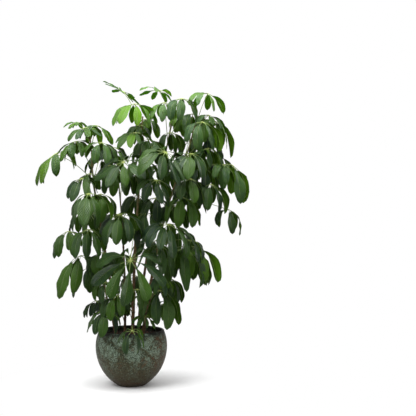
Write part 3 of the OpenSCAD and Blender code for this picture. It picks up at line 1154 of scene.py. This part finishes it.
@dataclass
class SoilTop:
    """The loose layer on top: a lumpy bed with crumbs and chips of bark on it."""

    pot: Pot
    depth: float = 0.010
    lumps: float = 0.006
    crumbs: int = 420
    chips: int = 90
    crumb_size: tuple[float, float] = (0.0016, 0.0050)
    chip_size: tuple[float, float] = (0.006, 0.016)

    def __post_init__(self) -> None:
        """Find the soil's level and how wide the pot is there."""
        self.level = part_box("soil")[1].z
        self.radius = self.pot.side(self.level, self.pot.wall) - 0.0012

    def height(self, x: float, y: float) -> float:
        """Return the bed's height at a place.

        Args:
            x: Where, along x.
            y: Where, along y.

        Returns:
            The height.
        """
        place = Vector((x, y, 0.0))
        swell = 0.6 * noise.fractal(place * 14.0, 1.0, 2.0, 4) + 0.4 * noise.fractal(place * 70.0, 1.0, 2.0, 3)
        return self.level + 0.003 + self.lumps * swell + 0.004 * (place.length / self.radius) ** 6

    def _bed(self) -> bmesh.types.BMesh:
        """Return the lumpy bed as a closed mesh.

        Returns:
            The mesh.
        """
        bm = new_mesh()
        tone = bm.verts.layers.float["tone"]
        rings = 34
        line = [bm.verts.new((self.radius * k / rings, 0.0, 0.0)) for k in range(rings + 1)]
        line.append(bm.verts.new((self.radius, 0.0, -1.0)))
        line.append(bm.verts.new((0.0, 0.0, -1.0)))
        edges = [bm.edges.new(pair) for pair in zip(line, line[1:])]
        bmesh.ops.spin(bm, geom=line + edges, axis=UP, cent=(0, 0, 0), angle=math.tau,
                       steps=110, use_merge=True, use_duplicate=False)
        bmesh.ops.remove_doubles(bm, verts=bm.verts, dist=1e-5)
        bmesh.ops.recalc_face_normals(bm, faces=bm.faces)
        for v in bm.verts:
            v.co.z = self.level - self.depth if v.co.z < -0.5 else self.height(v.co.x, v.co.y)
            v[tone] = 0.0
        for face in bm.faces:
            face.smooth = True
        return bm

    def _scatter(self, bm: bmesh.types.BMesh, rng: random.Random, chip: bool) -> None:
        """Drop one crumb or one chip of bark on the bed.

        Args:
            bm: The mesh to add it to.
            rng: Draws its place, size and turn.
            chip: Whether it is a flat chip of bark.
        """
        tone = bm.verts.layers.float["tone"]
        reach = (self.radius - 0.014) * math.sqrt(rng.random())
        bearing = rng.uniform(0.0, math.tau)
        x, y = reach * math.cos(bearing), reach * math.sin(bearing)
        size = rng.uniform(*(self.chip_size if chip else self.crumb_size))
        made = bmesh.ops.create_icosphere(bm, subdivisions=1, radius=size)["verts"]
        flat = Vector((1.0, rng.uniform(0.3, 0.6), 0.16)) if chip else Vector((1.0, rng.uniform(0.6, 1.0), 0.7))
        turn = Matrix.Rotation(rng.uniform(0, math.tau), 3, "Z") @ Matrix.Rotation(rng.uniform(-0.5, 0.5), 3, "X")
        shade = rng.uniform(0.35, 1.0) if chip else rng.uniform(0.0, 0.35)
        for v in made:
            jitter = 1 + 0.28 * noise.noise(v.co * 400.0 + Vector((x, y, 0)) * 90)
            v.co = turn @ Vector(a * b * jitter for a, b in zip(v.co, flat)) + Vector(
                (x, y, self.height(x, y) + size * (0.12 if chip else 0.45)))
            v[tone] = shade

    def build(self, material: bpy.types.Material) -> None:
        """Build the bed and what lies on it.

        Args:
            material: The soil.
        """
        make_piece("soil_surface", self._bed(), [material], "potting_soil")
        rng = random.Random(11)
        bm = new_mesh()
        for i in range(self.crumbs + self.chips):
            self._scatter(bm, rng, i >= self.crumbs)
        make_piece("soil_crumbs", bm, [material], "potting_soil")


# ---------------------------------------------------------------- studio


@dataclass
class Studio:
    """A pale floor, soft light from above and the front, and the camera."""

    camera_place: Color = (0.502, -5.5, 1.157)
    lens: float = 72.55
    floor_radius: float = 1.5
    floor_fade: tuple[float, float] = (0.24, 0.9)
    ground_glow: float = 0.06
    sky_glow: float = 1.2

    def build(self) -> None:
        """Build the floor, the lights and the camera."""
        bm = bmesh.new()
        bmesh.ops.create_circle(bm, cap_ends=True, segments=96, radius=self.floor_radius)
        mesh = bpy.data.meshes.new("floor")
        bm.to_mesh(mesh)
        bm.free()
        floor = bpy.data.objects.new("floor", mesh)
        bpy.context.scene.collection.objects.link(floor)
        mesh.materials.append(self._floor_paint())
        bpy.context.scene.world = self._world()
        self._light("top_light", (0.0, -0.5, 3.9), (0.0, 0.0, 1.2), 2.4, 190.0)
        self._light("front_light", (-1.9, -3.0, 4.2), (0.0, 0.0, 1.7), 2.0, 90.0)

        camera = bpy.data.cameras.new("camera")
        camera.sensor_width = 36.0
        camera.lens = self.lens
        holder = bpy.data.objects.new("camera", camera)
        holder.location = self.camera_place
        holder.rotation_euler = (math.pi / 2, 0.0, 0.0)
        bpy.context.scene.collection.objects.link(holder)
        bpy.context.scene.camera = holder
        bpy.context.scene.view_settings.view_transform = "Standard"

    def _floor_paint(self) -> bpy.types.Material:
        """Make a white paint that takes the soft shadow near the pot and runs into the background.

        Returns:
            The material.
        """
        shader = Shader("floor_paint")
        x, y, _ = shader.split(shader.coords())
        away = shader.math("ADD", shader.math("MULTIPLY", x, x), shader.math("MULTIPLY", y, y))
        away = shader.math("SQRT", away)
        paint = shader.principled(Base_Color=(0.93, 0.93, 0.93), Roughness=0.8)
        plain = shader.nodes.new("ShaderNodeEmission")
        blend = shader.nodes.new("ShaderNodeMixShader")
        shader.links.new(shader.ramp(away, *self.floor_fade), blend.inputs[0])
        shader.links.new(paint, blend.inputs[1])
        shader.links.new(plain.outputs[0], blend.inputs[2])
        return shader.finish(blend.outputs[0])

    def _world(self) -> bpy.types.World:
        """Make a white background whose light falls off from overhead to the ground.

        Returns:
            The world.
        """
        world = bpy.data.worlds.new("studio")
        world.use_nodes = True
        nodes, links = world.node_tree.nodes, world.node_tree.links
        back = nodes["Background"]
        back.inputs[0].default_value = (1.0, 1.0, 1.0, 1.0)
        place = nodes.new("ShaderNodeTexCoord")
        parts = nodes.new("ShaderNodeSeparateXYZ")
        fall = nodes.new("ShaderNodeMapRange")
        path = nodes.new("ShaderNodeLightPath")
        pick = nodes.new("ShaderNodeMix")
        fall.inputs["From Min"].default_value = -0.4
        fall.inputs["To Min"].default_value = self.ground_glow
        fall.inputs["To Max"].default_value = self.sky_glow
        pick.inputs["B"].default_value = 1.0
        links.new(place.outputs["Generated"], parts.inputs[0])
        links.new(parts.outputs["Z"], fall.inputs["Value"])
        links.new(fall.outputs[0], pick.inputs["A"])
        links.new(path.outputs["Is Camera Ray"], pick.inputs["Factor"])
        links.new(pick.outputs[0], back.inputs[1])
        return world

    @staticmethod
    def _light(name: str, place: Color, target: Color, size: float, power: float) -> None:
        """Hang one large soft light.

        Args:
            name: Its name.
            place: Where it hangs.
            target: What it points at.
            size: The length of its sides.
            power: Its power in watts.
        """
        lamp = bpy.data.lights.new(name, "AREA")
        lamp.size = size
        lamp.energy = power
        holder = bpy.data.objects.new(name, lamp)
        holder.location = place
        aim = Vector(target) - Vector(place)
        holder.rotation_euler = aim.to_track_quat("-Z", "Y").to_euler()
        bpy.context.scene.collection.objects.link(holder)


def main() -> None:
    """Build the plant's looks round its frame, in order from the floor up."""
    logging.basicConfig(level=logging.INFO, format="%(name)s: %(message)s")
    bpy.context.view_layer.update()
    Studio().build()
    pot = Pot()
    pot.build(GlazeFinish().make())
    earth = EarthFinish("potting_soil").make()
    roots = EarthFinish("matted_roots", brown=(0.09, 0.055, 0.032)).make()
    SoilTop(pot).build(earth)
    for node, material in (("soil", earth), ("root_ball", roots)):
        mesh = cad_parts[node].data
        mesh.materials.clear()
        mesh.materials.append(material)
    bark = BarkFinish().make()
    for node in sorted(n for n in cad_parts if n.startswith("stem_")):
        Stem(node).build(bark)
    Foliage().build()


if __name__ == "__main__":
    main()
